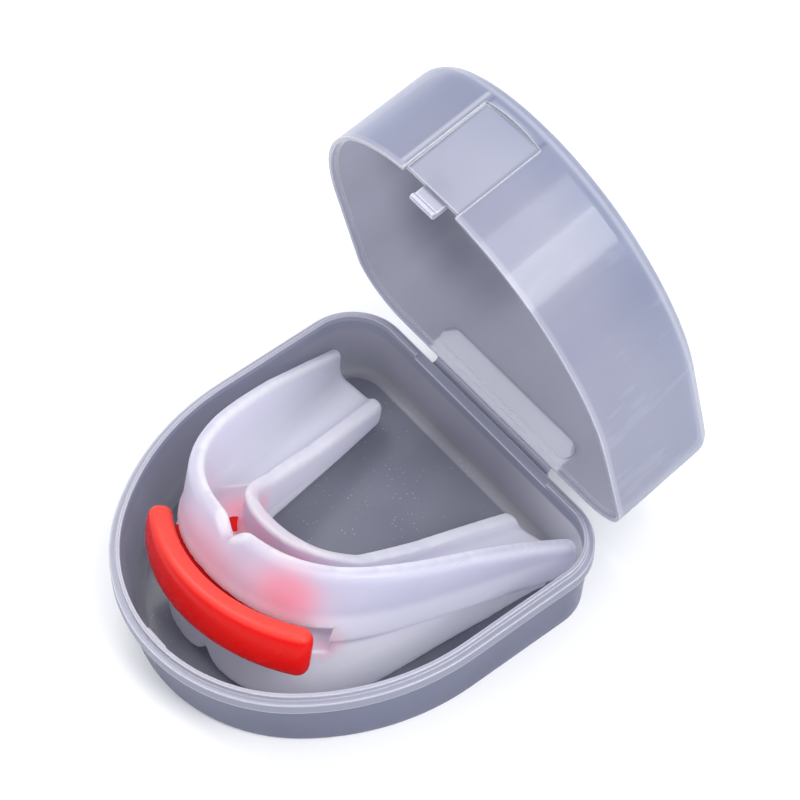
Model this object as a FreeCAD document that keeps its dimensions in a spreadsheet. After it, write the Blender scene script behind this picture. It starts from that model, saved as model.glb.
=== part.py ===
import FreeCAD, Part
import math
import os

from FreeCAD import Placement, Rotation, Vector

# A mouthguard lying in its hinged travel case, millimetres and degrees.
# +Z is up, the case opens towards -Y, the hinge runs along X at the back, and the
# origin is the centre of the base's underside. The lid is modelled closed and then
# swung open about the hinge; the mouthguard is modelled flat in its own frame and
# then laid in the tray, leaning back on its lower lip shield.

SIZES = {
    # rim outline of the case: a straight back, round corners and a bowed front
    "rim_half_width": 39.8,
    "rim_half_depth": 41.8,
    "corner_radius": 12.0,
    "front_radius": 35.8,
    "flank_radius": 53.9,
    # base tray
    "base_height": 17.3,
    "base_floor": 1.5,
    "base_wall": 1.3,
    "rim_band": 2.6,
    "rim_overhang": 0.8,
    "side_draft": 1.0,
    "front_draft": 2.4,
    "lip_inset": 1.3,
    "lip_height": 1.2,
    "bottom_fillet": 1.4,
    "floor_fillet": 2.0,
    "lip_gap_half": 20.0,
    "catch_half_width": 2.75,
    "catch_reach": 0.7,
    "catch_low": 16.5,
    "catch_height": 0.9,
    # lid shell
    "lid_rim": 17.55,
    "lid_depth": 24.45,
    "lid_inset": 0.33,
    "lid_draft": 0.5,
    "lid_wall": 1.4,
    "lid_fillet": 4.0,
    "lid_inner_fillet": 2.7,
    "rebate_inset": 1.15,
    "rebate_height": 1.1,
    "panel_half_width": 7.3,
    "panel_arch": 0.5,
    "panel_recess": 1.9,
    "panel_height": 19.6,
    "panel_skin": 1.5,
    "ledge_half_length": 19.5,
    "ledge_width": 4.0,
    "ledge_height": 0.8,
    # hinge
    "hinge_y": 42.84,
    "hinge_z": 17.03,
    "hinge_half_length": 17.5,
    "flange_reach": 42.6,
    "flange_height": 1.5,
    "open_angle": 78.0,
    # latch tongue on the lid
    "tongue_half_width": 3.0,
    "tongue_thickness": 1.1,
    "tongue_low": 15.2,
    "tongue_top": 22.0,
    "hook_reach": 0.5,
    "hook_height": 1.2,
    # mouthguard, in its own frame: z = 0 is the middle of the bumper bar
    "guard_x": -0.53,
    "guard_y": 2.69,
    "guard_z": 13.1,
    "guard_yaw": 2.7,
    "guard_pitch": 13.9,
    "guard_roll": 4.3,
    "plate_top": 3.0,
    "shield_low": 18.0,
    "lobe_half_width": 6.5,
    "rest_gap": 0.35,
    "notch_depth": 3.6,
    # bumper bar and the insert that carries it
    "arc_centre_y": 0.8,
    "bar_radius": 33.9,
    "bar_left_angle": 39.0,
    "bar_right_angle": 42.0,
    "bar_depth": 5.2,
    "bar_height": 10.4,
    "bar_rounding": 2.4,
    "insert_half_angle": 34.0,
    "insert_inner_radius": 17.0,
    "insert_half_height": 1.6,
    "slot_half_width": 21.9,
    "slot_half_height": 2.9,
    "slot_radius": 25.0,
    "post_radius": 1.9,
    "post_x": 10.5,
    "post_y": -15.5,
    "post_height": 2.2,
}


def make_sheet(doc):
    sheet = doc.addObject("Spreadsheet::Sheet", "Sizes")
    for row, (alias, value) in enumerate(SIZES.items(), start=1):
        sheet.set(f"A{row}", alias)
        sheet.set(f"B{row}", str(value))
        sheet.setAlias(f"B{row}", alias)
    doc.recompute()
    return sheet


doc = FreeCAD.newDocument("MouthguardCase")
sheet = make_sheet(doc)


def size(alias):
    return float(getattr(sheet, alias))


# ---------------------------------------------------------------- case outline


def outline_edges(inset, side=0.0, front=0.0):
    """The case outline moved inwards by inset, and further by side and front drafts."""
    half_width = size("rim_half_width") - inset - side
    back = size("rim_half_depth") - inset - side
    front_y = -size("rim_half_depth") + inset + front
    corner = size("corner_radius") - inset - side
    front_r = size("front_radius") - inset - side
    flank_r = size("flank_radius") - inset - side
    centre_y = front_y + front_r
    flank_x = half_width - flank_r
    flank_y = centre_y + math.sqrt((flank_r - front_r) ** 2 - flank_x**2)
    turn = math.atan2(centre_y - flank_y, -flank_x)
    up = Vector(0, 0, 1)

    def arc(x, y, radius, start, end):
        return Part.ArcOfCircle(Part.Circle(Vector(x, y, 0), up, radius), start, end)

    corner_x = half_width - corner
    corner_y = back - corner
    return [
        Part.LineSegment(Vector(corner_x, back, 0), Vector(-corner_x, back, 0)),
        arc(-corner_x, corner_y, corner, math.pi / 2, math.pi),
        Part.LineSegment(Vector(-half_width, corner_y, 0), Vector(-half_width, flank_y, 0)),
        arc(-flank_x, flank_y, flank_r, math.pi, math.pi - turn),
        arc(0, centre_y, front_r, -math.pi - turn, turn),
        arc(flank_x, flank_y, flank_r, turn, 0),
        Part.LineSegment(Vector(half_width, flank_y, 0), Vector(half_width, corner_y, 0)),
        arc(corner_x, corner_y, corner, 0, math.pi / 2),
    ]


# ------------------------------------------------------- PartDesign small tools


def new_body(label):
    body = doc.addObject("PartDesign::Body", label)
    body.Label = label
    return body


def plane(body, role):
    return next(f for f in body.Origin.OriginFeatures if f.Role == role)


def new_sketch(body, name, edges, height, role="XY_Plane"):
    """A sketch on one of the body's own planes, moved along its normal by an expression."""
    sketch = body.newObject("Sketcher::SketchObject", name)
    sketch.AttachmentSupport = [(plane(body, role), "")]
    sketch.MapMode = "FlatFace"
    sketch.setExpression("AttachmentOffset.Base.z", height)
    sketch.addGeometry(edges, False)
    return sketch


def rectangle(x0, y0, x1, y1):
    corners = [Vector(x0, y0, 0), Vector(x1, y0, 0), Vector(x1, y1, 0), Vector(x0, y1, 0)]
    return [Part.LineSegment(corners[i], corners[(i + 1) % 4]) for i in range(4)]


def loft(body, kind, name, lower, upper):
    feature = body.newObject(f"PartDesign::{kind}", name)
    feature.Profile = lower
    feature.Sections = [upper]
    feature.Ruled = True
    return feature


def pad(body, name, sketch, length):
    feature = body.newObject("PartDesign::Pad", name)
    feature.Profile = sketch
    feature.setExpression("Length", length)
    return feature


def pocket(body, name, sketch, length):
    """Cuts from the sketch upwards, away from its plane's own side."""
    feature = body.newObject("PartDesign::Pocket", name)
    feature.Profile = sketch
    feature.Reversed = True
    feature.setExpression("Length", length)
    return feature


def edges_where(shape, test):
    return [f"Edge{i}" for i, edge in enumerate(shape.Edges, start=1) if test(edge.BoundBox)]


def fillet(body, name, base, radius, test):
    doc.recompute()
    feature = body.newObject("PartDesign::Fillet", name)
    feature.Base = (base, edges_where(base.Shape, test))
    feature.setExpression("Radius", radius)
    doc.recompute()
    return feature


def flat_at(height):
    return lambda box: abs(box.ZMin - height) < 0.02 and abs(box.ZMax - height) < 0.02


# -------------------------------------------------------------------- base tray


def build_base():
    body = new_body("base_tray")
    overhang = size("rim_overhang")
    side = size("side_draft")
    front = size("front_draft")
    inner = overhang + size("base_wall")
    foot = new_sketch(body, "Foot", outline_edges(overhang, side, front), "0")
    shoulder = new_sketch(body, "WallTop", outline_edges(overhang), "Sizes.base_height")
    loft(body, "AdditiveLoft", "Walls", foot, shoulder)
    low = new_sketch(body, "FloorOutline", outline_edges(inner, side, front), "Sizes.base_floor")
    high = new_sketch(body, "MouthOutline", outline_edges(inner), "Sizes.base_height")
    hollow = loft(body, "SubtractiveLoft", "Hollow", low, high)
    floor_edge = fillet(body, "FloorEdge", hollow, "Sizes.floor_fillet", flat_at(size("base_floor")))
    fillet(body, "BottomEdge", floor_edge, "Sizes.bottom_fillet", flat_at(0))
    band = outline_edges(0) + outline_edges(inner - 0.1)
    rim = new_sketch(body, "RimBand", band, "Sizes.base_height - Sizes.rim_band")
    pad(body, "Rim", rim, "Sizes.rim_band")
    ring = outline_edges(size("lip_inset")) + outline_edges(inner)
    pad(body, "Lip", new_sketch(body, "LipOutline", ring, "Sizes.base_height"), "Sizes.lip_height")
    gap = rectangle(-size("lip_gap_half"), 38.0, size("lip_gap_half"), 42.5)
    gap_sketch = new_sketch(body, "LipGap", gap, "Sizes.base_height")
    pocket(body, "HingeGap", gap_sketch, "Sizes.lip_height + 1")
    add_base_flange(body)
    add_catch(body)
    return body


def add_base_flange(body):
    """The strip on the back of the rim that the hinge web grows from."""
    half = size("hinge_half_length")
    strip = rectangle(-half, 40.5, half, size("flange_reach"))
    low = "Sizes.hinge_z - 0.33 - Sizes.flange_height"
    pad(body, "HingeFlange", new_sketch(body, "FlangeOutline", strip, low), "Sizes.flange_height")


def add_catch(body):
    """A small ledge inside the front of the rim that the lid's tongue snaps behind."""
    half = size("catch_half_width")
    face = -size("rim_half_depth") + size("rim_overhang") + size("base_wall")
    ledge = rectangle(-half, face - 0.6, half, face + size("catch_reach"))
    pad(body, "Catch", new_sketch(body, "CatchOutline", ledge, "Sizes.catch_low"), "Sizes.catch_height")


# -------------------------------------------------------------------- lid shell


def opened():
    """The lid's place: swung back about the hinge axis from closed."""
    axis = Vector(0, size("hinge_y"), size("hinge_z"))
    return Placement(Vector(0, 0, 0), Rotation(Vector(1, 0, 0), -size("open_angle")), axis)


def build_lid():
    body = new_body("lid_shell")
    inset = size("lid_inset")
    draft = size("lid_draft")
    wall = size("lid_wall")
    top = "Sizes.lid_rim + Sizes.lid_depth"
    rim = new_sketch(body, "LidRim", outline_edges(inset), "Sizes.lid_rim")
    roof = new_sketch(body, "LidRoof", outline_edges(inset + draft), top)
    loft(body, "AdditiveLoft", "LidWalls", rim, roof)
    top_z = size("lid_rim") + size("lid_depth")
    mouth = new_sketch(body, "LidMouth", outline_edges(inset + wall), "Sizes.lid_rim")
    ceiling = new_sketch(body, "Ceiling", outline_edges(inset + draft + wall), top + " - Sizes.lid_wall")
    hollow = loft(body, "SubtractiveLoft", "LidHollow", mouth, ceiling)
    ceiling_edge = fillet(body, "CeilingEdge", hollow, "Sizes.lid_inner_fillet", flat_at(top_z - wall))
    fillet(body, "RoofEdge", ceiling_edge, "Sizes.lid_fillet", flat_at(top_z))
    add_panel(body)
    add_rebate(body)
    add_lid_flange(body)
    add_ledge(body)
    body.Placement = opened()
    return body


def panel_face():
    """How far forward the sunk front panel lies."""
    return -size("rim_half_depth") + size("panel_recess")


def panel_outline(half, height, arch):
    """A flat panel in the XZ plane with an arched upper edge."""
    low = size("lid_rim") - 0.01
    rise = low + height
    left = Vector(-half, rise, 0)
    right = Vector(half, rise, 0)
    return [
        Part.LineSegment(Vector(-half, low, 0), Vector(half, low, 0)),
        Part.LineSegment(Vector(half, low, 0), right),
        Part.Arc(right, Vector(0, rise + arch, 0), left),
        Part.LineSegment(left, Vector(-half, low, 0)),
    ]


def add_panel(body):
    """The flat panel sunk into the lid's round front, with a backing inside the wall."""
    half = size("panel_half_width")
    arch_rise = size("panel_arch")
    backing = panel_outline(half + 1.4, size("panel_height") + 1.0, arch_rise)
    inner = new_sketch(body, "PanelBacking", backing, f"{-panel_face() - size('panel_skin')}", "XZ_Plane")
    pad(body, "Backing", inner, "Sizes.panel_skin")
    recess = panel_outline(half, size("panel_height"), arch_rise)
    face = new_sketch(body, "PanelFace", recess, f"{-panel_face()}", "XZ_Plane")
    pocket(body, "Panel", face, "6")


def add_rebate(body):
    """Room inside the lid's rim for the lip on the base."""
    room = outline_edges(size("rebate_inset"))
    sketch = new_sketch(body, "RebateOutline", room, "Sizes.lid_rim - 0.5")
    pocket(body, "Rebate", sketch, "Sizes.rebate_height + 0.5")


def add_lid_flange(body):
    half = size("hinge_half_length")
    strip = rectangle(-half, 40.9, half, size("flange_reach"))
    sketch = new_sketch(body, "LidFlangeOutline", strip, "Sizes.hinge_z + 0.67")
    pad(body, "LidFlange", sketch, "Sizes.flange_height")


def add_ledge(body):
    """A raised band with round ends inside the back wall, beside the hinge."""
    radius = size("ledge_width") / 2
    half = size("ledge_half_length") - radius
    middle = size("lid_rim") + 2.2 + radius

    def round_end(x, start):
        circle = Part.Circle(Vector(x, middle, 0), Vector(0, 0, 1), radius)
        return Part.ArcOfCircle(circle, start, start + math.pi)

    band = [
        Part.LineSegment(Vector(-half, middle - radius, 0), Vector(half, middle - radius, 0)),
        round_end(half, -math.pi / 2),
        Part.LineSegment(Vector(half, middle + radius, 0), Vector(-half, middle + radius, 0)),
        round_end(-half, math.pi / 2),
    ]
    wall_face = size("rim_half_depth") - size("lid_inset") - size("lid_wall")
    sketch = new_sketch(body, "LedgeOutline", band, f"{-wall_face - 0.6}", "XZ_Plane")
    pad(body, "Ledge", sketch, "Sizes.ledge_height + 0.6")


def build_tongue():
    """The springy latch tongue behind the sunk panel, with a small outward bead at its tip."""
    body = new_body("latch_tongue")
    back = panel_face() + size("panel_skin")
    low = size("tongue_low")
    high = size("tongue_top")
    bead = size("hook_reach")
    step = low + size("hook_height")
    profile = [
        Vector(back, high, 0),
        Vector(back + size("tongue_thickness"), high - 0.6, 0),
        Vector(back + size("tongue_thickness"), low + 0.4, 0),
        Vector(back + 0.5, low, 0),
        Vector(back - bead * 0.2, low, 0),
        Vector(back - bead, low + 0.4, 0),
        Vector(back - bead, step - 0.4, 0),
        Vector(back, step + 0.2, 0),
    ]
    edges = [Part.LineSegment(profile[i], profile[(i + 1) % len(profile)]) for i in range(len(profile))]
    sketch = new_sketch(body, "TongueProfile", edges, "0 - Sizes.tongue_half_width", "YZ_Plane")
    pad(body, "Tongue", sketch, "2 * Sizes.tongue_half_width")
    body.Placement = opened()
    return body


def build_web():
    """The thin bending strip between the two hinge flanges, on the hinge axis."""
    body = new_body("hinge_web")
    axis_y = size("hinge_y")
    half = size("hinge_half_length") - 0.3
    strip = rectangle(-half, axis_y - 0.5, half, axis_y + 0.1)
    pad(body, "Web", new_sketch(body, "WebOutline", strip, "Sizes.hinge_z - 0.33"), "0.55")
    return body


# ------------------------------------------------------------------- mouthguard


def laid():
    """The mouthguard's place in the tray."""
    yaw = Rotation(Vector(0, 0, 1), size("guard_yaw"))
    roll = Rotation(Vector(0, 1, 0), -size("guard_roll"))
    pitch = Rotation(Vector(1, 0, 0), -size("guard_pitch"))
    spin = yaw.multiply(roll).multiply(pitch)
    return Placement(Vector(size("guard_x"), size("guard_y"), size("guard_z")), spin)


def bezier(points):
    curve = Part.BezierCurve()
    curve.setPoles(points)
    return curve.toShape()


def tips(z, curve):
    """An arch's right and left ends; the outer arches run on a little further on the right."""
    x, y = curve[3]
    along, behind = curve[4] if len(curve) > 4 else (0.0, 0.0)
    return Vector(x + along, y + behind, z), Vector(-x, y, z)


def arch(z, curve):
    """Right and left halves of a dental arch as curves from one arm's tip to the other's."""
    front, shoulder, waist = curve[:3]
    right_tip, left_tip = tips(z, curve)
    middle = Vector(0, front, z)
    right = [right_tip, Vector(*waist, z), Vector(shoulder, front, z), middle]
    left = [middle, Vector(-shoulder, front, z), Vector(-waist[0], waist[1], z), left_tip]
    return [bezier(right), bezier(left)]


def horseshoe(z, outer, inner):
    """A closed U: the outer arch, the inner arch and the two arm ends."""
    ends = [Part.makeLine(*pair) for pair in zip(tips(z, inner), tips(z, outer))]
    return Part.Wire(Part.__sortEdges__([*arch(z, outer), *arch(z, inner), *ends]))


def prism_x(points, reach=60.0):
    """A closed YZ outline drawn out along X, both ways."""
    corners = [Vector(-reach, y, z) for y, z in points]
    face = Part.Face(Part.makePolygon([*corners, corners[0]]))
    return face.extrude(Vector(2 * reach, 0, 0))


def arch_region(z0, z1, curve):
    """Everything inside an arch, closed across its two tips and drawn out far behind."""
    tip_x, tip_y = curve[3]
    far = tip_y + 30
    outline = [(-tip_x, tip_y), (-tip_x, far), (tip_x, far), (tip_x, tip_y)]
    corners = [Vector(x, y, z0) for x, y in outline]
    closing = [Part.makeLine(corners[i], corners[i + 1]) for i in range(3)]
    face = Part.Face(Part.Wire(Part.__sortEdges__([*arch(z0, curve), *closing])))
    return face.extrude(Vector(0, 0, z1 - z0))


# Arches as (front y, shoulder x, waist point, tip point, stretch of the right tip).
STRETCH = (1.5, 2.2)
INNER_FACE = (-14.8, 14.0, (11.0, -5.6), (18.3, 29.6))
OUTER_CREST = (-27.8, 29.6, (29.0, 0.0), (35.0, 29.0), STRETCH)
OUTER_WAIST = (-30.0, 31.0, (23.5, -2.0), (34.2, 29.8), STRETCH)
TROUGH_OUTER_TOP = (-25.2, 27.0, (26.3, 0.5), (33.4, 32.0), STRETCH)
TROUGH_OUTER_LOW = (-25.8, 25.5, (20.5, -2.0), (32.0, 32.0), STRETCH)
TROUGH_INNER = (-17.8, 16.6, (14.2, -5.0), (22.0, 32.0))
CHANNEL_MIDDLE = (-21.4, 21.0, (19.5, -2.5), (26.5, 32.0))
LOWER_OUTER = (-29.8, 32.0, (23.5, -3.0), (33.2, 29.0))
LOWER_INNER = (-27.4, 29.2, (21.0, -2.2), (30.8, 29.0))

# Heights of the outer and the inner wall's crest along y, front to back.
OUTER_CREST_LINE = [(-45, 17.4), (-26.5, 17.0), (-9, 15.8), (8, 13.6), (20, 11.0), (29, 8.6), (45, 4.5)]
INNER_CREST_LINE = [(-45, 11.6), (-14.8, 11.2), (-5, 6.8), (8, 5.2), (45, 3.9)]
# Lower edge of the lower wall along y.
LOWER_EDGE = [(-45, -18.0), (-20, -18.0), (-8, -15.0), (4, -11.5), (16, -8.5), (26, -4.5), (45, -2.0)]
# Underside of the two arms along y.
ARM_UNDERSIDE = [(-24, -6.0), (0, -5.0), (31, -0.9), (45, 0.4)]


def crest_cutter(line):
    return prism_x([*line, (45, 40), (-45, 40)])


def guard_block():
    """The arch with its bite plate and both upper walls, still without the lip shield."""
    high = horseshoe(19.0, OUTER_CREST, INNER_FACE)
    low = horseshoe(-7.0, OUTER_WAIST, INNER_FACE)
    block = Part.makeLoft([low, high], True, True)
    floor_z = size("plate_top")
    trough_low = horseshoe(floor_z, TROUGH_OUTER_LOW, TROUGH_INNER)
    trough_high = horseshoe(20.0, TROUGH_OUTER_TOP, TROUGH_INNER)
    block = block.cut(Part.makeLoft([trough_low, trough_high], True, True))
    block = block.cut(crest_cutter(OUTER_CREST_LINE))
    lower_inside = crest_cutter(INNER_CREST_LINE).common(arch_region(floor_z, 40.0, CHANNEL_MIDDLE))
    block = block.cut(lower_inside)
    return block.cut(prism_x([*ARM_UNDERSIDE, (45, -30), (-24, -30)]))


def cusp():
    """The small notch where the lower wall's two front lobes meet, seen from the front."""
    low = size("shield_low") + 2
    notch = size("shield_low") - size("notch_depth")
    half = size("lobe_half_width")
    outline = [(0, -notch), (1.2, 2.4 - low), (half, 2 - low), (half, -low)]
    right = [Vector(x, -45, z) for x, z in outline]
    left = [Vector(-point.x, point.y, point.z) for point in reversed(right)]
    bottom = Part.makeLine(right[-1], left[0])
    wire = Part.Wire([bezier(left), bezier(right), bottom])
    return Part.Face(wire).extrude(Vector(0, 30, 0))


def below_floor():
    """Everything under the tray's floor, in the mouthguard's own frame: its lower edge lies flat there."""
    top = size("base_floor") + size("rest_gap")
    block = Part.makeBox(200, 200, 50, Vector(-100, -100, top - 50))
    block.Placement = laid().inverse()
    return block


def lower_wall():
    """The thin outer wall below the bite plate, deepest at its two front lobes."""
    bottom = -size("shield_low") - 2
    wall = Part.Face(horseshoe(bottom, LOWER_OUTER, LOWER_INNER)).extrude(Vector(0, 0, -bottom - 1))
    wall = wall.cut(prism_x([*LOWER_EDGE, (45, -40), (-45, -40)]))
    return wall.cut(cusp()).cut(below_floor())


def frenum_notch():
    """The V cut in the middle of the upper front wall."""
    low = 17.0 - size("notch_depth")
    corners = [Vector(-5, -40, 19), Vector(-0.7, -40, low), Vector(0.7, -40, low), Vector(5, -40, 19)]
    face = Part.Face(Part.makePolygon([*corners, corners[0]]))
    return face.extrude(Vector(0, 19, 0))


def ring_sector(outer, inner, half_angle, z0, z1):
    """Part of a flat ring about the bumper's own centre, open towards -Y."""
    centre = Vector(0, size("arc_centre_y"), z0)
    turn = 2 * half_angle
    direction = Rotation(Vector(0, 0, 1), -90 - half_angle)
    full = Part.makeCylinder(outer, z1 - z0, Vector(0, 0, 0), Vector(0, 0, 1), turn)
    hole = Part.makeCylinder(inner, z1 - z0 + 2, Vector(0, 0, -1), Vector(0, 0, 1), 360)
    sector = full.cut(hole)
    sector.Placement = Placement(centre, direction)
    return sector


def guard_slot():
    """The slot across the guard's front that the bumper's neck stands in."""
    half = size("slot_half_height")
    ring = ring_sector(45.0, size("slot_radius"), 80.0, -half, half)
    width = size("slot_half_width")
    window = Part.makeBox(2 * width, 40, 2 * half, Vector(-width, -45, -half))
    return ring.common(window)


def insert_shape():
    """The flat tongue of the bumper inside the guard, with two posts that key it in."""
    half = size("insert_half_height")
    outer = size("bar_radius") - size("bar_depth") / 2
    plate = ring_sector(outer, size("insert_inner_radius"), size("insert_half_angle"), -half, half)
    for side in (-1, 1):
        foot = Vector(side * size("post_x"), size("post_y"), half - 0.2)
        plate = plate.fuse(Part.makeCylinder(size("post_radius"), size("post_height") - half + 0.2, foot))
    return plate.removeSplitter()


def build_guard():
    shape = guard_block().fuse(lower_wall())
    shape = shape.cut(frenum_notch())
    shape = shape.cut(guard_slot())
    shape = shape.cut(insert_shape())
    feature = doc.addObject("Part::Feature", "mouthguard_shell")
    feature.Label = "mouthguard_shell"
    feature.Shape = shape.removeSplitter()
    feature.Placement = laid()
    return feature


def build_insert():
    feature = doc.addObject("Part::Feature", "bumper_insert")
    feature.Label = "bumper_insert"
    feature.Shape = insert_shape()
    feature.Placement = laid()
    return feature


def build_bar():
    """The glossy bumper bar: a rounded band turned about the bumper's centre."""
    body = new_body("bumper_bar")
    middle = size("bar_radius")
    depth = size("bar_depth") / 2
    height = size("bar_height") / 2
    r = size("bar_rounding")
    low = Vector(middle - depth, -height, 0)
    high = Vector(middle + depth, height, 0)
    corners = [
        (high.x - r, high.y - r, 0.0),
        (low.x + r, high.y - r, math.pi / 2),
        (low.x + r, low.y + r, math.pi),
        (high.x - r, low.y + r, 1.5 * math.pi),
    ]
    edges = []
    for i, (x, y, start) in enumerate(corners):
        circle = Part.Circle(Vector(x, y, 0), Vector(0, 0, 1), r)
        arc = Part.ArcOfCircle(circle, start, start + math.pi / 2)
        nx, ny, nstart = corners[(i + 1) % 4]
        begin = Vector(x + r * math.cos(start + math.pi / 2), y + r * math.sin(start + math.pi / 2), 0)
        end = Vector(nx + r * math.cos(nstart), ny + r * math.sin(nstart), 0)
        edges += [arc, Part.LineSegment(begin, end)]
    sketch = new_sketch(body, "BarSection", edges, "0", "XZ_Plane")
    band = body.newObject("PartDesign::Revolution", "Bar")
    band.Profile = sketch
    band.ReferenceAxis = (plane(body, "Z_Axis"), [""])
    band.setExpression("Angle", "Sizes.bar_left_angle + Sizes.bar_right_angle")
    doc.recompute()
    finish_ends(body, band)
    turn = Placement(Vector(0, 0, 0), Rotation(Vector(0, 0, 1), -90 - size("bar_left_angle")))
    centre = Placement(Vector(0, size("arc_centre_y"), 0), Rotation())
    body.Placement = laid().multiply(centre).multiply(turn)
    return body


def finish_ends(body, band):
    """Rounds the bar's two flat ends."""
    angle = math.radians(size("bar_left_angle") + size("bar_right_angle"))
    normals = [Vector(0, 1, 0), Vector(-math.sin(angle), math.cos(angle), 0)]

    def on_end(edge):
        return any(all(abs(v.Point.dot(n)) < 0.01 for v in edge.Vertexes) for n in normals)

    names = [f"Edge{i}" for i, edge in enumerate(band.Shape.Edges, start=1) if on_end(edge)]
    feature = body.newObject("PartDesign::Fillet", "BarEnds")
    feature.Base = (band, names)
    feature.setExpression("Radius", "Sizes.bar_rounding - 0.3")


# ----------------------------------------------------------------------- output


def check(features):
    for item in doc.Objects:
        bad = [state for state in item.State if state in ("Invalid", "Error")]
        if bad:
            raise RuntimeError(f"{item.Name}: {bad}")
    for feature in features:
        shape = feature.Shape
        if shape.isNull() or not shape.isValid() or len(shape.Solids) != 1:
            raise RuntimeError(f"{feature.Label}: bad shape, {len(shape.Solids)} solids")


def main():
    features = [
        build_base(),
        build_lid(),
        build_tongue(),
        build_web(),
        build_guard(),
        build_insert(),
        build_bar(),
    ]
    doc.recompute()
    check(features)
    os.makedirs("parts", exist_ok=True)
    for feature in features:
        feature.Shape.exportStep(f"parts/{feature.Label}.step")
        print(feature.Label, round(feature.Shape.Volume, 1))


main()
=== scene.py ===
import math

import bpy
import numpy as np
from mathutils import Matrix, Vector


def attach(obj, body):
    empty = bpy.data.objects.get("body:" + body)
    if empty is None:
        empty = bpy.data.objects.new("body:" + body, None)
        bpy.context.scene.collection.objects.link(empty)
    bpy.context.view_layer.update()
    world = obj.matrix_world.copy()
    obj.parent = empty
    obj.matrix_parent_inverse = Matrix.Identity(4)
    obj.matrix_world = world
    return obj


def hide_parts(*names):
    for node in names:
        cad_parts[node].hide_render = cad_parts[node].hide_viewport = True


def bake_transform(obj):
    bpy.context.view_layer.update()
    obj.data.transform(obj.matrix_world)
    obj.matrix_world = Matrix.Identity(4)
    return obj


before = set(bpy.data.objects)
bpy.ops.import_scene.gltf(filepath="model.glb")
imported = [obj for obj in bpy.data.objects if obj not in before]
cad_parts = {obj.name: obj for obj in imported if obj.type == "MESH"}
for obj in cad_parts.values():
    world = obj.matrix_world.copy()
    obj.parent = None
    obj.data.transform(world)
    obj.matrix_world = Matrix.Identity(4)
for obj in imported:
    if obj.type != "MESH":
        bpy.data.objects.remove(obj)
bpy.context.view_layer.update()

# A mouthguard in its hinged travel case. Metres in the row frame; shapes that are worked out
# in the mouthguard's own frame are in millimetres and are scaled when their mesh is made.
MM = 0.001

# ---------------------------------------------------------------- camera, light


def aim(obj, target):
    obj.rotation_euler = (Vector(target) - obj.location).to_track_quat("-Z", "Y").to_euler()


def link(obj):
    bpy.context.scene.collection.objects.link(obj)
    return obj


CAMERA_PLACE = (0.2784, -0.2055, 0.5395)
CAMERA_TARGET = (-0.0006, 0.0201, 0.0413)


def make_camera():
    data = bpy.data.cameras.new("camera")
    data.lens = 146.5
    data.sensor_width = 36.0
    camera = link(bpy.data.objects.new("camera", data))
    camera.location = CAMERA_PLACE
    aim(camera, CAMERA_TARGET)
    bpy.context.scene.camera = camera


def area_light(name, place, target, size, power):
    data = bpy.data.lights.new(name, "AREA")
    data.shape = "RECTANGLE"
    data.size, data.size_y = size
    data.energy = power
    light = link(bpy.data.objects.new(name, data))
    light.location = place
    aim(light, target)


def make_lights():
    world = bpy.data.worlds.new("studio")
    world.use_nodes = True
    background = world.node_tree.nodes["Background"]
    background.inputs["Color"].default_value = (0.93, 0.95, 1.0, 1)
    background.inputs["Strength"].default_value = 0.78
    bpy.context.scene.world = world
    area_light("key", (-0.50, 0.05, 0.85), (0, 0.01, 0.03), (0.55, 0.55), 4.6)
    area_light("side", (0.60, 0.13, 0.56), (0, 0.03, 0.05), (0.30, 0.34), 2.8)
    area_light("above", (0.37, 0.04, 0.76), (0, 0.03, 0.05), (0.34, 0.36), 1.6)
    area_light("front", (0.1, -0.7, 0.45), (0, 0, 0.02), (0.5, 0.3), 0.7)


def make_floor():
    mesh = bpy.data.meshes.new("floor")
    half = 3.0
    corners = [(-half, -half, 0), (half, -half, 0), (half, half, 0), (-half, half, 0)]
    mesh.from_pydata(corners, [], [(0, 1, 2, 3)])
    floor = link(bpy.data.objects.new("floor", mesh))
    floor.location.z = -0.0001
    floor.data.materials.append(floor_finish())


# -------------------------------------------------------------- shader building


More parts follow.
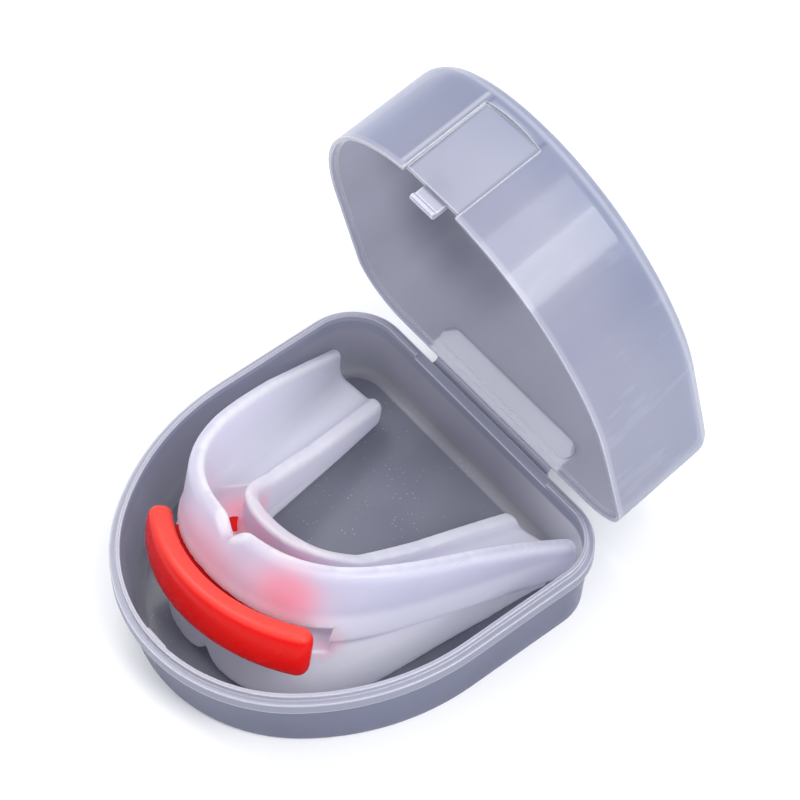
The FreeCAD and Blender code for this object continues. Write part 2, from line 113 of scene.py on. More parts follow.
class Shader:
    """A small helper that adds nodes to one material and wires them."""

    def __init__(self, name):
        self.material = bpy.data.materials.new(name)
        self.material.use_nodes = True
        self.tree = self.material.node_tree
        self.tree.nodes.clear()

    def add(self, kind, settings=None, **inputs):
        node = self.tree.nodes.new(kind)
        for key, value in (settings or {}).items():
            setattr(node, key, value)
        for key, value in inputs.items():
            self.feed(node.inputs[key.replace("_", " ")], value)
        return node

    def feed(self, socket, value):
        """Link the socket to another one, or set its value."""
        if isinstance(value, bpy.types.NodeSocket):
            self.tree.links.new(value, socket)
        else:
            socket.default_value = value

    def fed(self, kind, settings, values):
        """A new node whose first sockets take the values in order."""
        node = self.add(kind, settings)
        for socket, value in zip(node.inputs, values):
            self.feed(socket, value)
        return node

    def math(self, operation, a, b=0.0, c=0.0):
        return self.fed("ShaderNodeMath", {"operation": operation}, (a, b, c)).outputs[0]

    def vector(self, operation, a, b):
        return self.fed("ShaderNodeVectorMath", {"operation": operation}, (a, b)).outputs

    def dot(self, a, b):
        return self.vector("DOT_PRODUCT", a, b)["Value"]

    def times(self, *values):
        """The product of the values."""
        product = values[0]
        for value in values[1:]:
            product = self.math("MULTIPLY", product, value)
        return product

    def ramp(self, value, stops):
        """A smooth ramp of greys from (place, grey) stops."""
        node = self.tree.nodes.new("ShaderNodeValToRGB")
        band = node.color_ramp
        band.interpolation = "EASE"
        for element, (place, grey) in zip(band.elements, stops):
            element.position = place
            element.color = (grey, grey, grey, 1)
        self.tree.links.new(value, node.inputs["Fac"])
        return node.outputs["Color"]

    def within(self, value, low, high):
        """0 below low, 1 above high, smooth between."""
        node = self.tree.nodes.new("ShaderNodeMapRange")
        node.interpolation_type = "SMOOTHSTEP"
        self.tree.links.new(value, node.inputs["Value"])
        node.inputs["From Min"].default_value = low
        node.inputs["From Max"].default_value = high
        return node.outputs["Result"]

    def mix(self, factor, a, b):
        """The colour between a and b."""
        node = self.tree.nodes.new("ShaderNodeMix")
        node.data_type = "RGBA"
        for name, value in (("Factor", factor), ("A", a), ("B", b)):
            kind = "VALUE" if name == "Factor" else "RGBA"
            socket = next(s for s in node.inputs if s.name == name and s.type == kind)
            self.feed(socket, (*value, 1) if isinstance(value, tuple) else value)
        return next(s for s in node.outputs if s.type == "RGBA")

    def blend_shaders(self, factor, a, b):
        return self.fed("ShaderNodeMixShader", {}, (factor, a, b)).outputs[0]

    def noise(self, place, scale, detail=3.0, roughness=0.5):
        node = self.add("ShaderNodeTexNoise", Vector=place, Scale=scale, Detail=detail, Roughness=roughness)
        return node.outputs["Fac"]

    def finish(self, surface):
        output = self.tree.nodes.new("ShaderNodeOutputMaterial")
        self.tree.links.new(surface, output.inputs["Surface"])
        return self.material


def floor_finish():
    shader = Shader("floor")
    place = shader.add("ShaderNodeTexCoord").outputs["Object"]
    tone = shader.noise(place, 9.0)
    colour = shader.mix(tone, (0.93, 0.93, 0.93), (0.96, 0.96, 0.96))
    surface = shader.add("ShaderNodeBsdfPrincipled", Base_Color=colour, Roughness=0.75)
    return shader.finish(surface.outputs[0])


HINGE = (0.0, 0.04284, 0.01703)
OPEN_ANGLE = math.radians(78)
LEDGE_FOOT, LEDGE_TOP = 0.0178, 0.0237
ROOF_EDGE = 0.0398
FLAT = (1, 1, 0)


def case_finish(name, opened):
    """Frosted translucent moulded plastic, more solid along its rims and edges, where a painted highlight
    makes it paler.

    Places are read in the closed case, so those on the lid are first turned back about the hinge."""
    shader = Shader(name)
    coords = shader.add("ShaderNodeTexCoord").outputs
    place, facing = coords["Object"], coords["Normal"]
    if opened:
        turned = [shader.add("ShaderNodeVectorRotate", {"rotation_type": "AXIS_ANGLE"}, Vector=vector,
                             Center=centre, Axis=(1, 0, 0), Angle=OPEN_ANGLE).outputs[0]
                  for vector, centre in ((place, HINGE), (facing, (0, 0, 0)))]
        place, facing = turned
    split = shader.add("ShaderNodeSeparateXYZ", Vector=place).outputs
    height = split["Z"]
    outward = shader.vector("MULTIPLY", place, FLAT)["Vector"]
    inside = shader.within(shader.dot(facing, outward), 0.004, -0.004)
    if opened:
        up = shader.add("ShaderNodeSeparateXYZ", Vector=facing).outputs["Z"]
        inside = shader.math("MAXIMUM", inside, shader.within(up, -0.3, -0.9))
        inside = shader.math("MULTIPLY", inside, shader.within(up, 0.9, 0.3))
    cloud = shader.within(shader.noise(place, 30.0, 2.0, 0.5), 0.3, 0.7)
    grain = shader.noise(place, 420.0, 3.0, 0.6)
    fine = shader.noise(place, 1500.0, 2.0, 0.5)
    # edge: 1 along rims and edges, where the bevelled normal turns from the plain one; it carries a painted
    # highlight and makes those parts less see-through.
    rounded = shader.add("ShaderNodeBevel", {"samples": 3}, Radius=0.0005)
    flat = shader.add("ShaderNodeNewGeometry").outputs["Normal"]
    edge = shader.within(shader.dot(rounded.outputs[0], flat), 0.998, 0.93)
    normal = rounded.outputs[0]
    if opened:
        ledge = ledge_part(shader, split, inside)
        edge = shader.math("MULTIPLY", edge, shader.math("SUBTRACT", 1.0, ledge))
        normal = shader.mix(ledge, normal, flat)
        body, relief_strength, clear = lid_colour(shader, split, cloud, inside, ledge), 0.04, 0.22
    else:
        body, relief_strength, clear = base_colour(shader, split, cloud, inside), 0.07, 0.16
    height_map = shader.math("ADD", grain, fine)
    if not opened:
        dots, floor = floor_dots(shader, place, height)
        body = shader.mix(shader.times(dots, 0.5), body, (0.80, 0.80, 0.85))
        height_map = shader.math("MULTIPLY_ADD", dots, 3.0, height_map)
    # Painted highlight: rims and edges are mixed towards near-white.
    body = shader.mix(shader.times(edge, 0.85), body, (0.95, 0.95, 0.99))
    relief = shader.add("ShaderNodeBump", Strength=relief_strength, Distance=0.0002, Height=height_map,
                        Normal=normal)
    roughness = shader.ramp(grain, [(0.3, 0.14), (0.7, 0.22)])
    if not opened:
        roughness = shader.mix(floor, roughness, (0.24, 0.24, 0.24))
    solid = shader.add("ShaderNodeBsdfPrincipled", Base_Color=body, Roughness=roughness, IOR=1.49,
                       Normal=relief.outputs[0])
    solid.inputs["Coat Weight"].default_value = 0.35 if opened else 0.15
    solid.inputs["Coat Roughness"].default_value = 0.08
    through = shader.add("ShaderNodeBsdfTranslucent", Color=body, Normal=relief.outputs[0])
    flat_part = shader.math("SUBTRACT", 1.0, edge)
    milky = shader.blend_shaders(shader.times(flat_part, 0.4), solid.outputs[0], through.outputs[0])
    gap = shader.add("ShaderNodeBsdfTransparent", Color=(0.86, 0.88, 0.95, 1))
    surface = shader.blend_shaders(shader.math("MULTIPLY", flat_part, clear), milky, gap.outputs[0])
    return shader.finish(surface)


def ledge_part(shader, split, inside):
    """1 on the small ledge inside the lid's back wall, next to the hinge."""
    height, across, along = split["Z"], split["X"], split["Y"]
    ledge = shader.times(shader.within(height, LEDGE_FOOT - 0.0005, LEDGE_FOOT),
                         shader.within(height, LEDGE_TOP + 0.0005, LEDGE_TOP),
                         inside, shader.within(along, 0.034, 0.035))
    above = shader.math("MAXIMUM", shader.math("SUBTRACT", height, 0.0214), 0.0)
    reach = shader.math("MULTIPLY_ADD", above, 0.8, shader.math("ABSOLUTE", across))
    return shader.times(ledge, shader.within(reach, 0.0198, 0.0190))


def lid_colour(shader, split, cloud, inside, ledge):
    """Bluish outside and bluer towards the roof as painted shade, greyer and lighter inside as painted
    light, with a painted shadow in one inner corner, painted highlights pale along the rim, the roof edge
    and the ledge, with a painted highlight ridge and two painted shaded creases beside the sunk panel,
    faint painted reflected bands, faint painted highlight streaks on the right, and a lighter, bluer
    outside towards -X."""
    height, across, along = split["Z"], split["X"], split["Y"]
    body = shader.mix(cloud, (0.355, 0.37, 0.48), (0.40, 0.41, 0.51))
    # Painted shade: the outside grows bluer towards the roof.
    body = shader.mix(shader.within(height, 0.028, 0.041), body, (0.32, 0.35, 0.47))
    # The inside is a lighter, greyer copy of the plastic as painted light, with a painted shadow in one
    # inner corner.
    inner_tone_and_shade = shader.mix(cloud, (0.50, 0.495, 0.55), (0.58, 0.57, 0.63))
    corner_shadow = shader.times(shader.within(height, 0.025, 0.036), shader.within(across, -0.004, -0.032), 0.7)
    inner_tone_and_shade = shader.mix(corner_shadow, inner_tone_and_shade, (0.12, 0.125, 0.17))
    body = shader.mix(shader.within(across, -0.008, -0.026), body, (0.43, 0.46, 0.61))
    body = shader.mix(inside, body, inner_tone_and_shade)
    # Painted highlight: a pale line along the roof edge.
    roof_edge_highlight = shader.times(band_at(shader, height, ROOF_EDGE, 0.0009), 0.35)
    body = shader.mix(roof_edge_highlight, body, (0.85, 0.86, 0.93))
    # Painted reflections: soft pale bands, stronger inside.
    reach = shader.add("ShaderNodeCombineXYZ", X=across, Y=shader.math("MULTIPLY", along, 0.6))
    reflection_bands = shader.within(shader.noise(reach.outputs[0], 95.0, 1.0, 0.4), 0.38, 0.66)
    reflection_bands = shader.math("MULTIPLY", reflection_bands, shader.math("MULTIPLY_ADD", inside, 0.2, 0.05))
    body = shader.mix(reflection_bands, body, (0.62, 0.62, 0.70))
    # Painted highlight: faint pale streaks on the right.
    stretched = shader.add("ShaderNodeCombineXYZ", X=shader.math("MULTIPLY", across, 0.5),
                           Y=along, Z=shader.math("MULTIPLY", height, 0.35))
    highlight_streaks = shader.within(shader.noise(stretched.outputs[0], 230.0, 2.0, 0.5), 0.54, 0.66)
    highlight_streaks = shader.times(highlight_streaks, shader.within(across, 0.016, 0.028), 0.13)
    body = shader.mix(highlight_streaks, body, (0.66, 0.68, 0.80))
    # Beside the sunk panel on the front wall: a painted highlight ridge, and two creases darkened as
    # painted shade.
    front = shader.times(shader.within(along, -0.015, -0.022), shader.within(height, 0.0394, 0.0386))
    ridge = band_at(shader, across, -0.0086, 0.0009)
    body = shader.mix(shader.times(ridge, front, 0.75), body, (0.78, 0.78, 0.84))
    left_crease_shade = band_at(shader, across, -0.0070, 0.0006)
    right_crease_shade = band_at(shader, across, 0.0068, 0.0008)
    crease_shade = shader.math("MAXIMUM", left_crease_shade, right_crease_shade)
    body = shader.mix(shader.times(crease_shade, front, 0.5), body, (0.16, 0.17, 0.25))
    # Painted highlight: pale along the rim.
    body = shader.mix(shader.within(height, 0.0190, 0.0182), body, (0.52, 0.52, 0.62))
    # Painted light: the ledge is near-white.
    return shader.mix(ledge, body, (0.97, 0.96, 0.99))


def band_at(shader, value, centre, half_width):
    """1 where a value is at centre, fading to 0 half_width away."""
    return shader.within(shader.math("ABSOLUTE", shader.math("SUBTRACT", value, centre)), half_width, 0.0)


def base_colour(shader, split, cloud, inside):
    """Darker and bluer outside than in, as painted shade and light on one plastic, with painted light on
    the inner walls towards +X, a different grey on the tray's floor, and painted highlights pale at the
    foot and the rim.
    """
    height = split["Z"]
    low = shader.mix(cloud, (0.38, 0.38, 0.405), (0.54, 0.54, 0.56))
    # Outer and inner walls are shaded and lit copies of one plastic: painted shade outside, painted light
    # inside.
    outer = shader.mix(cloud, (0.165, 0.18, 0.275), (0.205, 0.22, 0.32))
    inner = shader.mix(cloud, (0.39, 0.385, 0.45), (0.46, 0.455, 0.52))
    # Painted light: the inner walls grow near-white towards +X.
    inner = shader.mix(shader.within(split["X"], 0.005, 0.039), inner, (0.93, 0.92, 0.96))
    colour = shader.mix(inside, outer, inner)
    colour = shader.mix(shader.within(height, 0.0060, 0.0020), colour, shader.mix(inside, outer, low))
    # Painted highlight: a pale line at the foot.
    colour = shader.mix(shader.within(height, 0.0010, 0.0002), colour, (0.55, 0.55, 0.64))
    colour = shader.mix(shader.within(height, 0.0142, 0.0150), colour, (0.37, 0.38, 0.47))
    # Painted highlight: pale along the rim.
    return shader.mix(shader.within(height, 0.0168, 0.0174), colour, (0.50, 0.50, 0.60))


def floor_dots(shader, place, height):
    """The fine raised dots moulded into the tray's floor, and where that floor is."""
    cells = shader.add("ShaderNodeTexVoronoi", Vector=place, Scale=1000.0)
    dots = shader.within(cells.outputs["Distance"], 0.20, 0.10)
    floor = shader.times(shader.within(height, 0.0024, 0.0018), shader.within(height, 0.0008, 0.0012))
    sparse = shader.within(shader.noise(place, 260.0, 2.0, 0.5), 0.45, 0.62)
    return shader.math("MULTIPLY", shader.math("MULTIPLY", dots, floor), sparse), floor


def red_finish(pose):
    """Glossy red plastic, with a painted highlight along the bar's upper side."""
    shader = Shader("bumper_red")
    place = shader.add("ShaderNodeTexCoord").outputs["Object"]
    height = shader.add("ShaderNodeSeparateXYZ", Vector=local_place(shader, place, pose)).outputs["Z"]
    cloud = shader.noise(place, 90.0, 3.0, 0.5)
    colour = shader.mix(cloud, (0.58, 0.003, 0.002), (0.66, 0.005, 0.003))
    # Painted highlight: paler red along the bar's upper side.
    top_highlight = shader.math("MULTIPLY", shader.within(height, 3.9, 5.1), 0.85)
    colour = shader.mix(top_highlight, colour, (0.80, 0.075, 0.058))
    fine = shader.noise(place, 900.0, 2.0, 0.5)
    relief = shader.add("ShaderNodeBump", Strength=0.08, Distance=0.0002, Height=fine)
    surface = shader.add("ShaderNodeBsdfPrincipled", Base_Color=colour, IOR=1.5,
                         Roughness=shader.ramp(cloud, [(0.3, 0.22), (0.7, 0.32)]), Normal=relief.outputs[0])
    surface.inputs["Subsurface Weight"].default_value = 0.08
    surface.inputs["Subsurface Radius"].default_value = (1.0, 0.2, 0.1)
    surface.inputs["Subsurface Scale"].default_value = 0.002
    surface.inputs["Specular IOR Level"].default_value = 0.14
    return shader.finish(surface.outputs[0])


def guard_finish(pose):
    """Milky soft plastic, pink and red where the insert shows through the front of the bite plate, with a
    weak painted glow (emission) at the window and on the inner faces, and painted light that makes the
    inner faces, the lower wall, a band above it and the ridges paler.
    """
    shader = Shader("guard_clear")
    coords = shader.add("ShaderNodeTexCoord").outputs
    place = coords["Object"]
    local = local_place(shader, place, pose)
    height = shader.add("ShaderNodeSeparateXYZ", Vector=local).outputs["Z"]
    facing = shader.add("ShaderNodeVectorRotate", {"rotation_type": "EULER_XYZ", "invert": True},
                        Vector=coords["Normal"], Rotation=tuple(pose.to_euler())).outputs[0]
    outward = shader.vector("MULTIPLY", local, FLAT)["Vector"]
    inside = shader.within(shader.dot(facing, outward), 12.0, -6.0)
    cloud = shader.noise(place, 60.0, 3.0, 0.5)
    colour = shader.mix(cloud, (0.56, 0.56, 0.68), (0.64, 0.635, 0.75))
    # Painted light: faces turned inwards get a lighter copy of the colour.
    colour = shader.mix(inside, colour, shader.mix(cloud, (0.75, 0.75, 0.86), (0.81, 0.81, 0.90)))
    # Painted light: the lower wall is paler.
    colour = shader.mix(shader.within(height, -0.6, -2.0), colour, (0.86, 0.86, 0.94))
    # Painted highlight: a paler band from about mid-height up to 5 to 7 mm.
    band = shader.math("MULTIPLY", shader.within(height, -0.6, 0.2), shader.within(height, 7.0, 4.5))
    colour = shader.mix(shader.math("MULTIPLY", band, 0.5), colour, (0.84, 0.83, 0.89))
    # Pink where the red insert shows through; near the bar's right end this also lightens a shaded recess
    # as painted light.
    colour = shader.mix(glow_over(shader, local, PINK_GLOW), colour, (0.98, 0.50, 0.61))
    spots = glow_over(shader, local, RED_SPOTS)
    colour = shader.mix(spots, colour, (0.95, 0.25, 0.34))
    window = glow_over(shader, local, RED_SPOTS[:1])
    # Painted highlight: ridges that stand out are mixed towards near-white.
    ridge = shader.add("ShaderNodeAttribute", {"attribute_name": "ridge"}).outputs["Fac"]
    edge = shader.within(ridge, 0.08, 0.32)
    colour = shader.mix(shader.math("MULTIPLY", edge, 0.8), colour, (0.97, 0.97, 0.99))
    fine = shader.noise(place, 500.0, 3.0, 0.55)
    relief = shader.add("ShaderNodeBump", Strength=0.05, Distance=0.0003, Height=fine)
    surface = shader.add("ShaderNodeBsdfPrincipled", Base_Color=colour, IOR=1.48,
                         Roughness=shader.ramp(cloud, [(0.3, 0.30), (0.7, 0.40)]), Normal=relief.outputs[0])
    # Painted glow: weak emission on the inner faces, stronger and pink at the window.
    inner_glow_emission = shader.math("MULTIPLY", inside, 0.06)
    glow = shader.mix(window, (0.85, 0.85, 0.97), (1.0, 0.33, 0.42))
    shader.feed(surface.inputs["Emission Color"], glow)
    shader.feed(surface.inputs["Emission Strength"], shader.math("MULTIPLY_ADD", window, 0.36, inner_glow_emission))
    surface.inputs["Subsurface Weight"].default_value = 0.85
    surface.inputs["Subsurface Radius"].default_value = (1.0, 0.9, 1.0)
    surface.inputs["Subsurface Scale"].default_value = 0.005
    surface.inputs["Coat Weight"].default_value = 0.15
    surface.inputs["Coat Roughness"].default_value = 0.2
    through = shader.add("ShaderNodeBsdfTranslucent", Color=colour)
    milky = shader.blend_shaders(0.25, surface.outputs[0], through.outputs[0])
    gap = shader.add("ShaderNodeBsdfTransparent", Color=(0.93, 0.93, 0.97, 1))
    return shader.finish(shader.blend_shaders(0.20, milky, gap.outputs[0]))


# Where the red insert shows through, in the mouthguard's own frame: centre, radius, strength. The last pink
# spot, by the bar's right end, also lightens a shaded recess as painted light; the first red spot is the
# window, which also gets a painted glow.
PINK_GLOW = [((-3.0, -24.0, 4.0), 15.0, 0.62), ((-12.0, -19.0, 3.0), 13.0, 0.62),
             ((11.5, -23.0, 6.0), 14.5, 0.6), ((21.5, -20.5, -1.0), 6.0, 0.75)]
RED_SPOTS = [((-12.0, -12.0, 1.5), 8.0, 0.75), ((14.5, -24.5, 10.0), 8.5, 0.6)]


def local_place(shader, place, pose):
    """The shaded point in the mouthguard's own frame, in millimetres."""
    spin = shader.add("ShaderNodeCombineXYZ")
    for axis, row in zip("XYZ", pose.inverted()):
        shader.feed(spin.inputs[axis], shader.math("ADD", shader.dot(place, row[:3]), row[3]))
    return spin.outputs[0]


def glow_over(shader, local, spots):
    """The strongest of the spots' glows at a point in the mouthguard's own frame."""
    glow = None
    for centre, reach, strength in spots:
        distance = shader.vector("DISTANCE", local, centre)["Value"]
        near = shader.times(shader.within(distance, reach, 0.15 * reach), strength)
        glow = near if glow is None else shader.math("MAXIMUM", glow, near)
    return glow


# ------------------------------------------------------- shapes from a 3-D field


def surface_net(field, origin, step):
    """Vertices and quads of the zero level of a sampled field that is negative inside."""
    inside = field < 0
    cells = tuple(n - 1 for n in field.shape)
    total = np.zeros((*cells, 3))
    count = np.zeros(cells)
    quads = []
    crossings = []
    for axis in range(3):
        u, v = (axis + 1) % 3, (axis + 2) % 3
        low = [slice(None)] * 3
        high = [slice(None)] * 3
        low[axis], high[axis] = slice(0, -1), slice(1, None)
        a, b = field[tuple(low)], field[tuple(high)]
        where = np.argwhere(inside[tuple(low)] != inside[tuple(high)])
        index = tuple(where.T)
        share = a[index] / (a[index] - b[index])
        for du in (0, 1):
            for dv in (0, 1):
                cell = where.copy()
                cell[:, u] -= du
                cell[:, v] -= dv
                spot = np.zeros((len(cell), 3))
                spot[:, axis] = share
                spot[:, u] = du
                spot[:, v] = dv
                ok = ((cell >= 0) & (cell < np.array(cells))).all(1)
                at = tuple(cell[ok].T)
                np.add.at(total, at, spot[ok])
                np.add.at(count, at, 1)
        crossings.append((where, u, v, inside[tuple(low)][index]))
    active = np.argwhere(count > 0)
    number = np.full(cells, -1)
    number[tuple(active.T)] = np.arange(len(active))
    at = tuple(active.T)
    points = (active + total[at] / count[at][:, None]) * step + np.array(origin)
    for where, u, v, outward in crossings:
        corners = []
        for du, dv in ((1, 1), (0, 1), (0, 0), (1, 0)):
            cell = where.copy()
            cell[:, u] -= du
            cell[:, v] -= dv
            corners.append(number[tuple(cell.T)])
        faces = np.stack(corners, 1)
        faces[~outward] = faces[~outward][:, ::-1]
        quads.append(faces)
    return points, np.concatenate(quads)


def round_max(a, b, radius):
    """The intersection of two fields with its edge rounded."""
    h = np.clip(0.5 + 0.5 * (a - b) / radius, 0, 1)
    return b + (a - b) * h + radius * h * (1 - h)


def round_min(a, b, radius):
    return -round_max(-a, -b, radius)


def bezier(poles, count=48):
    t = np.linspace(0, 1, count)[:, None]
    p = np.array(poles, float)
    return (1 - t) ** 3 * p[0] + 3 * t * (1 - t) ** 2 * p[1] + 3 * t * t * (1 - t) * p[2] + t**3 * p[3]


def arch_line(front, shoulder, waist, tip, stretch=(0.0, 0.0)):
    """Half an arch from the middle of the front to the arm's tip, drawn on straight beyond it."""
    end = (tip[0] + stretch[0], tip[1] + stretch[1])
    line = bezier([(0, front), (shoulder, front), waist, end])
    ahead = line[-1] - line[-2]
    return np.vstack([line, line[-1] + ahead / np.linalg.norm(ahead) * 25])


def side_field(x, y, line):
    """Signed distance in the plane to one half arch and its mirror image, negative inside."""
    px, py = np.abs(x).ravel(), y.ravel()
    best = np.full(px.shape, 1e9)
    for (ax, ay), (bx, by) in zip(line[:-1], line[1:]):
        dx, dy = bx - ax, by - ay
        t = np.clip(((px - ax) * dx + (py - ay) * dy) / (dx * dx + dy * dy), 0, 1)
        best = np.minimum(best, (px - ax - t * dx) ** 2 + (py - ay - t * dy) ** 2)
    half_width = np.interp(py, line[:, 1], line[:, 0], left=-1)
    inside = (px < half_width) & (py > line[0, 1])
    return np.where(inside, -1, 1).reshape(x.shape) * np.sqrt(best).reshape(x.shape)


def arch_field(x, y, arch):
    """Signed distance to an arch that is open at the back; its right arm may be stretched."""
    left = side_field(x, y, arch_line(*arch[:4]))
    return left if len(arch) == 4 else np.where(x > 0, side_field(x, y, arch_line(*arch)), left)


# Arches of the mouthguard as (front y, shoulder x, waist point, tip point, right tip's stretch).
STRETCH = (1.5, 2.2)
INNER_FACE = (-14.8, 14.0, (11.0, -5.6), (18.3, 29.6))
OUTER_CREST = (-27.8, 29.6, (29.0, 0.0), (35.0, 29.0), STRETCH)
OUTER_WAIST = (-30.0, 31.0, (23.5, -2.0), (34.2, 29.8), STRETCH)
TROUGH_OUTER_TOP = (-25.2, 27.0, (26.3, 0.5), (33.4, 32.0), STRETCH)
TROUGH_OUTER_LOW = (-25.8, 25.5, (20.5, -2.0), (32.0, 32.0), STRETCH)
TROUGH_INNER = (-17.8, 16.6, (14.2, -5.0), (22.0, 32.0))
CHANNEL_MIDDLE = (-21.4, 21.0, (19.5, -2.5), (26.5, 32.0))
LOWER_OUTER = (-29.8, 32.0, (23.5, -3.0), (33.2, 29.0))
LOWER_INNER = (-27.4, 29.2, (21.0, -2.2), (30.8, 29.0))

LOWER_EDGE = [(-45, -18.0), (-20, -18.0), (-8, -15.0), (4, -11.5), (16, -8.5), (26, -4.5), (45, -2.0)]
OUTER_CREST_LINE = [(-45, 17.4), (-26.5, 17.0), (-9, 15.8), (8, 13.6), (20, 11.0), (29, 8.6), (45, 4.5)]
INNER_CREST_LINE = [(-45, 11.6), (-14.8, 11.2), (-5, 6.8), (8, 5.2), (45, 3.9)]
ARM_UNDERSIDE = [(-24, -6.0), (0, -5.0), (31, -0.9), (45, 0.4)]
CREST_Z, WAIST_Z, FLOOR_Z = 19.0, -7.0, 3.0

# The front notch, and the slot in the bite plate that the red insert lies in.
NOTCH_FOOT_Z, NOTCH_SLOPE = 13.4, 1.35
SWEEP_CENTRE_Y = 0.8
SLOT_HALF_HEIGHT, SLOT_RADIUS, SLOT_HALF_WIDTH = 2.9, 25.0, 21.9

# The bumper bar's section and its sweep round the front.
BAR_RADIUS, BAR_HALF_THICK, BAR_HALF_HEIGHT, BAR_END_ROUND = 33.9, 2.6, 5.2, 2.3
BAR_START, BAR_END, BAR_END_ANGLE = math.radians(-39.0), math.radians(42.0), math.radians(4.2)


def level(line, y):
    ys, zs = zip(*line)
    return np.interp(y, ys, zs)


def between(value, low, high):
    t = np.clip((value - low) / (high - low), 0, 1)
    return t * t * (3 - 2 * t)


def guard_field(x, y, z, pose):
    """The whole mouthguard, with its front notch and the slot for the insert cut out."""
    flat = (x[:, :, :1], y[:, :, :1])
    block = upper_block(x, y, z, flat)
    block = round_min(block, lower_wall(x, y, z, flat, pose), 0.8)
    notch = (np.abs(x) * NOTCH_SLOPE + (NOTCH_FOOT_Z - z)) / 1.7
    block = round_max(block, -np.maximum(notch, y + 19), 1.6)
    radius = np.hypot(x, y - SWEEP_CENTRE_Y)
    slot = round_max(np.abs(z) - SLOT_HALF_HEIGHT, SLOT_RADIUS - radius, 0.6)
    slot = np.maximum(np.maximum(slot, np.abs(x) - SLOT_HALF_WIDTH), y + 5)
    return round_max(block, -slot, 0.5)


def upper_block(x, y, z, flat):
    """The bite plate and both upper walls."""
    rise = np.clip((z - WAIST_Z) / (CREST_Z - WAIST_Z), 0, 1)
    outer = arch_field(*flat, OUTER_WAIST) * (1 - rise) + arch_field(*flat, OUTER_CREST) * rise
    foot = between(z, 6.5, 0.5) * between(y, 26.0, 10.0)
    outer = outer - 0.9 * foot + 1.9 * between(z, 0.2, -0.9) * between(y, 24.0, 12.0)
    inner = -arch_field(*flat, INNER_FACE)
    block = round_max(outer, z - level(OUTER_CREST_LINE, y), 2.4)
    block = round_max(block, inner, 1.6)
    middle = arch_field(*flat, CHANNEL_MIDDLE)
    low_inside = round_max(level(INNER_CREST_LINE, y) - z, middle, 0.8)
    block = round_max(block, -low_inside, 1.4)
    trough_rise = np.clip((z - FLOOR_Z) / 17.0, 0, 1)
    trough_outer = (arch_field(*flat, TROUGH_OUTER_LOW) * (1 - trough_rise)
                    + arch_field(*flat, TROUGH_OUTER_TOP) * trough_rise)
    trough_inner = -arch_field(*flat, TROUGH_INNER)
    trough = round_max(round_max(trough_outer, trough_inner, 2.0), FLOOR_Z - z, 2.2)
    block = round_max(block, -trough, 1.0)
    ahead = -0.894 * (np.abs(x) - 20.0) - 0.447 * (y + 14.0)
    recess = round_max(round_max(trough_outer + 0.5, trough_inner + 0.5, 1.0), 1.8 - z, 0.8)
    block = round_max(block, -round_max(recess, -ahead, 0.5), 0.5)
    block = round_max(block, level(ARM_UNDERSIDE, y) - z, 1.6)
    end = np.where(x > 0, y - 29.8 - 2.0 * between(x, 20.0, 34.0), y - 29.8)
    return round_max(block, end, 1.2)


def lower_wall(x, y, z, flat, pose):
    """The thin outer wall below the bite plate, with two lobes in front, resting on the floor."""
    wall = np.maximum(arch_field(*flat, LOWER_OUTER), -arch_field(*flat, LOWER_INNER))
    cusp = np.interp(np.abs(x), [0, 0.8, 2.2, 4.2, 7.0], [-14.4, -15.6, -16.9, -17.7, -18.1])
    wall = round_max(wall, np.maximum(level(LOWER_EDGE, y), np.where(y < -15, cusp, -99)) - z, 1.0)
    wall = np.maximum(np.maximum(wall, z + 0.4), y - 28.0)
    up = np.array(pose)[2] / MM
    height = up[0] * x + up[1] * y + up[2] * z + up[3]
    return round_max(wall, 1.9 - height, 0.5)


def pose_matrix():
    """From the mouthguard's own frame in millimetres to the row frame in metres."""
    yaw = Matrix.Rotation(math.radians(2.7), 4, "Z")
    roll = Matrix.Rotation(math.radians(-4.3), 4, "Y")
    pitch = Matrix.Rotation(math.radians(-13.9), 4, "X")
    return Matrix.Scale(MM, 4) @ Matrix.Translation((-0.53, 2.69, 13.1)) @ yaw @ roll @ pitch


def add_mesh(name, points, faces, matrix=None):
    mesh = bpy.data.meshes.new(name)
    mesh.from_pydata([tuple(p) for p in points], [], [tuple(int(i) for i in f) for f in faces])
    if matrix is not None:
        mesh.transform(matrix)
    mesh.polygons.foreach_set("use_smooth", [True] * len(mesh.polygons))
    mesh.update()
    return link(bpy.data.objects.new(name, mesh))


def ridges(points, faces, normals, rounds=8):
    """How far each vertex stands out from its smoothed surroundings, in the points' unit."""
    a, b = faces.ravel(), np.roll(faces, -1, axis=1).ravel()
    count = len(points)
    degree = (np.bincount(a, minlength=count) + np.bincount(b, minlength=count))[:, None]
    calm = points.copy()
    for _ in range(rounds):
        calm = np.stack([np.bincount(a, calm[b, k], count) + np.bincount(b, calm[a, k], count)
                         for k in range(3)], 1) / degree
    return ((points - calm) * normals).sum(1)


def make_guard(pose):
    step = 0.45
    low, high = np.array((-38.5, -34.0, -20.5)), np.array((39.5, 34.5, 19.5))
    axes = [np.arange(a, b, step) for a, b in zip(low, high)]
    x, y, z = np.meshgrid(*axes, indexing="ij")
    points, faces = surface_net(guard_field(x, y, z, pose), low, step)
    guard = add_mesh("mouthguard", points, faces, pose)
    normals = np.array([v.normal for v in guard.data.vertices]) @ np.array(pose.to_3x3()) / MM
    attribute = guard.data.attributes.new("ridge", "FLOAT", "POINT")
    attribute.data.foreach_set("value", ridges(points, faces, normals).astype(np.float32))
    smooth = guard.modifiers.new("smooth", "SMOOTH")
    smooth.factor = 0.5
    smooth.iterations = 3
    guard.data.materials.append(guard_finish(pose))
    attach(guard, "mouthguard")
    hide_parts("mouthguard_shell")


def signed_power(value, exponent):
    return math.copysign(abs(value) ** exponent, value)


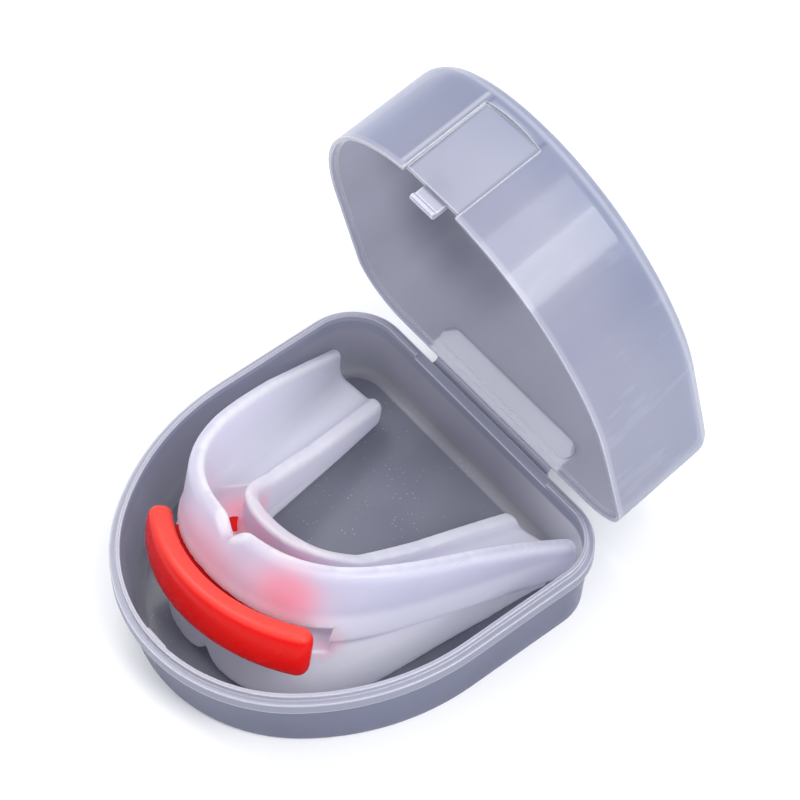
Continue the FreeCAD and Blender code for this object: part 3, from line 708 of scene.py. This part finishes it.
def make_bar(pose):
    """The bumper bar: a superelliptic section swept round the front, rounded in at both ends."""
    around, along = 56, 120
    points, faces = [], []
    for i in range(along + 1):
        turn = BAR_START + (BAR_END - BAR_START) * (0.5 - 0.5 * math.cos(math.pi * i / along))
        near = 1 - min(turn - BAR_START, BAR_END - turn) / BAR_END_ANGLE
        inset = BAR_END_ROUND * (1 - math.sqrt(1 - min(max(near, 0.0), 0.999) ** 2))
        for j in range(around):
            a = 2 * math.pi * j / around
            r = BAR_RADIUS + (BAR_HALF_THICK - inset) * signed_power(math.cos(a), 0.62)
            h = (BAR_HALF_HEIGHT - inset) * signed_power(math.sin(a), 0.55)
            points.append((r * math.sin(turn), SWEEP_CENTRE_Y - r * math.cos(turn), h))
    for i in range(along):
        for j in range(around):
            k = (j + 1) % around
            faces.append((i * around + j, (i + 1) * around + j, (i + 1) * around + k, i * around + k))
    faces.append(list(range(around))[::-1])
    faces.append([along * around + j for j in range(around)])
    bar = add_mesh("bumper", points, faces, pose)
    bar.data.materials.append(red_finish(pose))
    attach(bar, "mouthguard")
    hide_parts("bumper_bar")


def make_web(finish):
    """The thin strip, curved at the hinge axis, between the base and the lid."""
    half, along, thick = 17.3, 48, 0.24
    line = [(42.25, 16.40), (42.55, 16.56), (42.82, 16.78), (43.06, 17.02), (43.26, 17.28), (43.52, 17.52)]
    ring = []
    for i, (y, z) in enumerate(line):
        before, after = line[max(i - 1, 0)], line[min(i + 1, len(line) - 1)]
        dy, dz = after[0] - before[0], after[1] - before[1]
        length = math.hypot(dy, dz)
        ring.append((y - thick * dz / length, z + thick * dy / length))
    ring += [(2 * y - a, 2 * z - b) for (y, z), (a, b) in zip(reversed(line), reversed(ring))]
    points = [(half * (2 * i / along - 1), y, z) for i in range(along + 1) for y, z in ring]
    faces, n = [], len(ring)
    for i in range(along):
        for j in range(n):
            k = (j + 1) % n
            faces.append((i * n + j, i * n + k, (i + 1) * n + k, (i + 1) * n + j))
    faces += [[j for j in range(n)][::-1], [along * n + j for j in range(n)]]
    web = add_mesh("hinge_strip", points, faces, Matrix.Scale(MM, 4))
    web.data.materials.append(finish)
    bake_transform(web)
    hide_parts("hinge_web")


def dress_case(pose):
    """Give the CAD pieces their materials, and the hinge its curved strip."""
    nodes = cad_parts
    base, lid = case_finish("case_base", False), case_finish("case_lid", True)
    make_web(base)
    for name, finish in (("base_tray", base), ("lid_shell", lid), ("latch_tongue", lid)):
        nodes[name].data.materials.clear()
        nodes[name].data.materials.append(finish)
        nodes[name].data.polygons.foreach_set("use_smooth", [True] * len(nodes[name].data.polygons))
        edge = nodes[name].modifiers.new("edges", "EDGE_SPLIT")
        edge.split_angle = math.radians(35)
    nodes["bumper_insert"].data.materials.clear()
    nodes["bumper_insert"].data.materials.append(red_finish(pose))


make_camera()
make_lights()
make_floor()
GUARD_POSE = pose_matrix()
dress_case(GUARD_POSE)
make_guard(GUARD_POSE)
make_bar(GUARD_POSE)
bpy.context.scene.view_settings.view_transform = "Standard"
